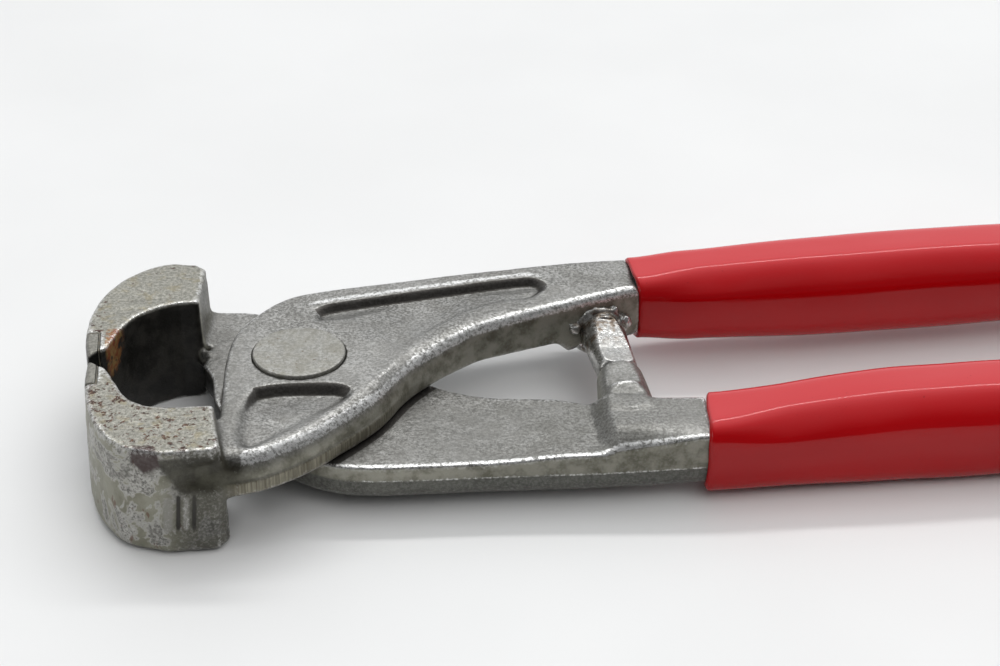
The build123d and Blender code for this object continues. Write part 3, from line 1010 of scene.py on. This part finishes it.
class ForgedSteel(Look):
    """Dropped, tumbled steel, in layers that share one grain and one mottle."""

    def __init__(self):
        super().__init__("forged_steel")
        self.grain = self.noise(0.42, 3, 0.75)
        self.mottle = self.noise(3.2, 4, 0.62)
        self.edge = self.noise(5.6, 4, 0.66, twist=0.5)
        self.streak = self.noise(0.3, 2, 0.6, stretch=(1, 1, 60))
        self.x, self.y, self.z = (self.place.part(axis) for axis in range(3))
        self.wall = self.mark("wall").ramp(0.24, 0.75)

    def faces(self):
        """Grey flats, with painted shade darkening them towards the jaws, and darker on the near shank."""
        face = self.grain.tones(0.36, 0.64, (0.125, 0.122, 0.113), (0.40, 0.395, 0.377))
        face = face.tinted(self.mottle, 0.35, 0.7, 0.5, (0.155, 0.15, 0.135))
        face = face.tinted(self.noise(11, 3, 0.6), 0.4, 0.65, 0.3, (0.36, 0.355, 0.34))
        # Painted shade: the faces darken towards the jaws, as if lit from the right
        face = face.tinted(self.x, -76, -83, 0.4, (0.15, 0.145, 0.13))
        shank = self.x.ramp(-62, -54) * self.y.ramp(-4, -9)
        return (shank * 0.42).between(face, (0.13, 0.128, 0.115))

    def walls(self):
        """Olive and brown oxide, paler round the head and dark below the parting line."""
        oxide = self.mottle.tones(0.36, 0.62, (0.11, 0.105, 0.076), (0.28, 0.272, 0.226))
        oxide = oxide.tinted(self.grain, 0.48, 0.72, 0.55, (0.22, 0.215, 0.19))
        pale = self.mottle.tones(0.36, 0.62, (0.18, 0.173, 0.13), (0.40, 0.39, 0.33))
        oxide = oxide.tinted(self.x, -42, -58, 0.65, pale)
        dark = self.grain.tones(0.4, 0.62, (0.065, 0.067, 0.062), (0.125, 0.127, 0.118))
        return oxide.tinted(self.z, 6.3, 5.7, 0.8, dark)

    def old_scale(self):
        """Patches of scale and rust lines on the jaws' outsides, and the near jaw's trimming ribs."""
        patch = self.edge.ramp(0.47, 0.485)
        border = self.edge.ramp(0.44, 0.47) * self.edge.ramp(0.515, 0.485)
        olive = self.mottle.tones(0.35, 0.65, (0.20, 0.195, 0.145), (0.295, 0.29, 0.232))
        pale = self.grain.tones(0.36, 0.62, (0.13, 0.127, 0.115), (0.50, 0.49, 0.46))
        pale = pale.tinted(self.mottle, 0.4, 0.6, 0.6, (0.12, 0.115, 0.10))
        scale = (border * 0.6).between(patch.between(pale, olive), (0.50, 0.49, 0.46))
        rust_line = self.noise(1.2, 3, 0.6, stretch=(1, 1, 2.2))
        scale = scale.tinted(rust_line, 0.63, 0.69, 0.75, (0.13, 0.055, 0.03))
        dark = self.grain.tones(0.45, 0.66, (0.04, 0.038, 0.031), (0.16, 0.155, 0.14))
        scale = scale.tinted(self.x, -92, -86, 0.8, dark)
        scale = scale.tinted(self.mark("ribs"), 0.6, 0.9, 0.75, (0.26, 0.255, 0.235))
        return scale.tinted(self.mark("ribs"), 0.4, 0.15, 0.85, (0.035, 0.032, 0.024))

    def trimmed(self):
        """Vertical marks of trimming."""
        marks = self.streak.tones(0.3, 0.75, (0.115, 0.102, 0.07), (0.33, 0.31, 0.24))
        return marks.tinted(self.mottle, 0.4, 0.65, 0.55, (0.10, 0.085, 0.055))

    def jaw_tops(self):
        """Speckled tops, rustier on the near jaw and along the outer edge."""
        top = self.noise(0.5, 3, 0.75).tones(0.34, 0.66, (0.18, 0.176, 0.15), (0.36, 0.35, 0.308))
        top = top.tinted(self.noise(1.8, 3, 0.6), 0.5, 0.7, 0.5, (0.26, 0.22, 0.125))
        rusty = self.y.ramp(-2, -8) * 0.8 + self.x.ramp(-97.5, -99.5, 0, 0.6)
        speck = self.noise(0.85, 4, 0.68) + (rusty * 0.085 + (self.mottle - 0.5) * 0.22)
        rust = self.grain.tones(0.4, 0.65, (0.04, 0.021, 0.017), (0.125, 0.062, 0.038))
        return top.tinted(speck, 0.625, 0.68, 0.95, rust)

    def stained_and_shaded(self, colour):
        """The colour under a bruise, painted shade on the panel walls and beside the lapped plate, painted
        shade in hollows, the black mouth and the stain of brazing.
        """
        bruise = self.place.vector("DISTANCE", BRUISE_PLACE, "Value") * 0.1 + (self.edge - 0.5) * 0.5
        colour = colour.tinted(bruise, 0.22, 0.15, 0.9, (0.045, 0.025, 0.024))
        # Painted shade: panel walls facing the near side, and the upper plate's shadow on the lower one
        painted_shade = self.mark("panel_wall_shade").or_more(self.mark("lap_shadow"))
        colour = colour.tinted(painted_shade, 0.2, 0.7, 0.85, (0.04, 0.035, 0.031))
        # Painted shade darkening the hollows
        colour = colour.tinted(self.mark("hollow"), 0.05, 0.32, 0.9, (0.035, 0.033, 0.028))
        black = self.mottle.tones(0.4, 0.6, (0.008, 0.0075, 0.0065), (0.024, 0.022, 0.019))
        colour = (self.mark("mouth") * 0.98).between(colour, black)
        orange = self.noise(1.0, 3, 0.6).tones(0.35, 0.65, (0.21, 0.05, 0.014), (0.30, 0.19, 0.07))
        stain = self.mark("stain") * self.noise(1.7, 3, 0.6).ramp(0.3, 0.55)
        return colour.tinted(stain, 0.15, 0.6, 0.9, orange)

    def rubbed_and_highlit(self):
        """How bright each place is: edges rubbed bright by wear, and the rims polished with painted
        highlights along them.
        """
        wear = self.mark("wear") + (self.grain - 0.5) * 0.5
        brightening = wear.ramp(0.10, 0.28) * 0.75 * (1.0 - self.wall * 0.5)
        brightening = brightening * (1.0 - self.mark("calm").or_more(self.mark("mouth")))
        # The rims' crests are polished and also carry painted highlights
        rim = self.mark("rim") + (self.grain - 0.5)
        return brightening.or_more(rim.ramp(0.26, 0.62)) * self.noise(0.55, 4, 0.8).ramp(0.41, 0.53, 0.08, 1.0)

    def relief(self):
        """Fine and coarse grain, and the trimming marks."""
        normal = self.bump(self.noise(0.3, 2, 0.6), 0.03)
        normal = self.bump(self.noise(0.8, 3, 0.6), 0.07, normal)
        return self.bump(self.streak * self.mark("band"), 0.12, normal)


def forged_steel():
    """Bright worn rims with painted highlights, grey faces, brown and olive oxide on the walls, painted
    shade in recesses and beside the lapped plate, and rusty jaws.
    """
    look = ForgedSteel()
    # Near-black painted shade for the scoop under the near jaw's top edge
    scoop = look.mottle.tones(0.35, 0.65, (0.022, 0.019, 0.011), (0.075, 0.072, 0.052))
    colour = (look.wall * 0.92).between(look.faces(), look.walls())
    colour = (look.mark("cheek") * 0.92).between(colour, look.old_scale())
    colour = (look.mark("scoop") * 0.9).between(colour, scoop)
    colour = (look.mark("band") * 0.85).between(colour, look.trimmed())
    colour = look.stained_and_shaded(look.mark("crown").between(colour, look.jaw_tops()))
    brightening = look.rubbed_and_highlit()
    # Near white where edges are rubbed and where the rims' painted highlights lie
    colour = brightening.between(colour, (0.80, 0.795, 0.78))
    metal = 0.88 - look.mark("cheek") * 0.35 - look.mark("mouth") * 0.4 - look.wall * 0.3
    rough = look.mottle.ramp(0.3, 0.7, 0.36, 0.48) + look.wall * 0.06 - brightening * 0.12
    return look.finished(Base_Color=colour, Metallic=metal, Roughness=rough, Normal=look.relief())


def rivet_steel():
    """Flattened rivet: fine even grain and a few brown specks."""
    look = Look("rivet_steel")
    grain, mottle = look.noise(0.42, 3, 0.7), look.noise(2.4, 3, 0.6)
    colour = grain.tones(0.35, 0.65, (0.23, 0.225, 0.205), (0.37, 0.365, 0.34))
    colour = colour.tinted(mottle, 0.35, 0.7, 0.6, (0.235, 0.225, 0.185))
    colour = colour.tinted(look.noise(0.8, 2, 0.6), 0.66, 0.74, 0.8, (0.12, 0.075, 0.04))
    normal = look.bump(mottle, 0.05, look.bump(look.noise(0.35, 3, 0.65), 0.03))
    rough = mottle.ramp(0.3, 0.7, 0.42, 0.54)
    return look.finished(Base_Color=colour, Metallic=0.8, Roughness=rough, Normal=normal)


def tip_carbide():
    """Ground hard tip, smoother and darker than the jaws."""
    look = Look("tip_carbide")
    grain = look.noise(0.25, 2, 0.6, stretch=(1, 1, 4))
    colour = grain.tones(0.3, 0.7, (0.10, 0.098, 0.092), (0.16, 0.158, 0.15))
    colour = colour.tinted(look.noise(1.6, 3, 0.6), 0.55, 0.75, 0.6, (0.12, 0.1, 0.075))
    top = look.noise(0.5, 3, 0.75).tones(0.34, 0.66, (0.15, 0.146, 0.125), (0.28, 0.27, 0.24))
    colour = look.mark("crown").between(colour, top)
    colour = (look.mark("mouth") * 0.95).between(colour, (0.014, 0.014, 0.012))
    rough = look.noise(1.1, 3, 0.6).ramp(0.3, 0.7, 0.34, 0.5)
    return look.finished(Base_Color=colour, Metallic=0.75, Roughness=rough, Normal=look.bump(grain, 0.012))


def braze_metal():
    """Brass filler, dulled and patchy."""
    look = Look("braze")
    patch = look.noise(0.9, 3, 0.6)
    colour = patch.tones(0.4, 0.65, (0.13, 0.124, 0.105), (0.2, 0.178, 0.135))
    return look.finished(Base_Color=colour, Metallic=0.8, Roughness=0.45, Normal=look.bump(patch, 0.03))


def stop_metal(name, heat):
    """Bright ground stud or weld, with some heat tint."""
    look = Look(name)
    grain, patch = look.noise(0.4, 3, 0.65), look.noise(1.5, 3, 0.6)
    colour = grain.tones(0.35, 0.65, (0.34, 0.335, 0.32), (0.6, 0.595, 0.575))
    brown = grain.tones(0.4, 0.62, (0.10, 0.065, 0.042), (0.24, 0.19, 0.14))
    back = look.place.part(1).ramp(3.5, 6.0, 0.12, 1)
    colour = (patch.ramp(0.42, 0.6, 0, heat) * back).between(colour, brown)
    colour = colour.tinted(look.mark("wear"), 0.1, 0.4, 1, (0.72, 0.71, 0.69))
    # Painted shade darkening the stud's and weld's hollows
    colour = colour.tinted(look.mark("hollow"), 0.06, 0.35, 0.9, (0.05, 0.045, 0.04))
    normal = look.bump(patch, 0.12, look.bump(grain, 0.03))
    rough = patch.ramp(0.3, 0.7, 0.22, 0.38)
    return look.finished(Base_Color=colour, Metallic=0.9, Roughness=rough, Normal=normal)


def red_vinyl():
    """Glossy dipped vinyl with faint waves, dust and handling marks, and a painted pale sheen on its upward
    faces.
    """
    look = Look("red_vinyl")
    wave, dust = look.noise(14, 2, 0.5, stretch=(3, 1, 1)), look.noise(0.5, 2, 0.5)
    colour = wave.tones(0.3, 0.7, (0.345, 0.001, 0.003), (0.40, 0.002, 0.004))
    # Painted sheen: upward faces paler, standing in for the bright reflection on the grips' tops
    upward = make_node(look.tree, "ShaderNodeNewGeometry", {}, "Normal").part(2)
    colour = colour.tinted(upward, 0.6, 0.98, 0.9, (0.56, 0.036, 0.042))
    colour = colour.tinted(dust, 0.72, 0.8, 0.5, (0.10, 0.01, 0.012))
    rough = look.noise(6, 4, 0.65, stretch=(3, 1, 1)).ramp(0.3, 0.72, 0.10, 0.19)
    dimples = look.noise(2.6, 2, 0.5, stretch=(2, 1, 1))
    normal = look.bump(dimples, 0.018, look.bump(wave, 0.35))
    return look.finished(Base_Color=colour, Roughness=rough, Normal=normal, IOR=1.38)


def pale_floor():
    """Plain pale tabletop with hardly any sheen."""
    look = Look("pale_floor")
    colour = look.noise(60, 3, 0.5).tones(0.3, 0.7, (0.745, 0.745, 0.74), (0.775, 0.775, 0.77))
    return look.finished(Base_Color=colour, Roughness=0.5)


# ---- surroundings and pieces

world = bpy.data.worlds.new("studio")
world.use_nodes = True
bpy.context.scene.world = world
bpy.context.scene.view_settings.view_transform = "Standard"
direction = make_node(world.node_tree, "ShaderNodeTexCoord", {}, "Generated")
behind = direction.vector("DOT_PRODUCT", (0, 0.8, 0.6), "Value")
background = world.node_tree.nodes["Background"].inputs
wire(world.node_tree, background["Color"], (0.96, 0.98, 1.0))
wire(world.node_tree, background["Strength"], behind.ramp(0.15, 0.9, 0.09, 0.97))

STEEL, VINYL, STOP = forged_steel(), red_vinyl(), stop_metal("stop_steel", 0.9)
WELD = stop_metal("weld_metal", 0.75)
TIP, BRASS, RIVET = tip_carbide(), braze_metal(), rivet_steel()
floor.data.materials.append(pale_floor())

for piece, body, node, slot, material in (
    (upper_half, "upper", "upper_half", "forged_steel", STEEL),
    (upper_tang, "upper", "upper_half", "forged_steel", STEEL),
    (upper_tip, "upper", "upper_tip", "tip_carbide", TIP),
    (upper_braze, "upper", "upper_braze", "braze", BRASS),
    (upper_stop, "upper", "upper_stop", "stop_steel", STOP),
    (stop_weld, "upper", "stop_weld", "stop_steel", WELD),
    (upper_grip, "upper", "upper_grip", "grip_vinyl", VINYL),
    (lower_half, "lower", "lower_half", "forged_steel", STEEL),
    (lower_tang, "lower", "lower_half", "forged_steel", STEEL),
    (lower_tip, "lower", "lower_tip", "tip_carbide", TIP),
    (lower_braze, "lower", "lower_braze", "braze", BRASS),
    (lower_grip, "lower", "lower_grip", "grip_vinyl", VINYL),
    (rivet, "lower", "pivot_rivet", "rivet_steel", RIVET),
):
    piece.data.materials.append(material)
    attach(piece, body)
    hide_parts(node)
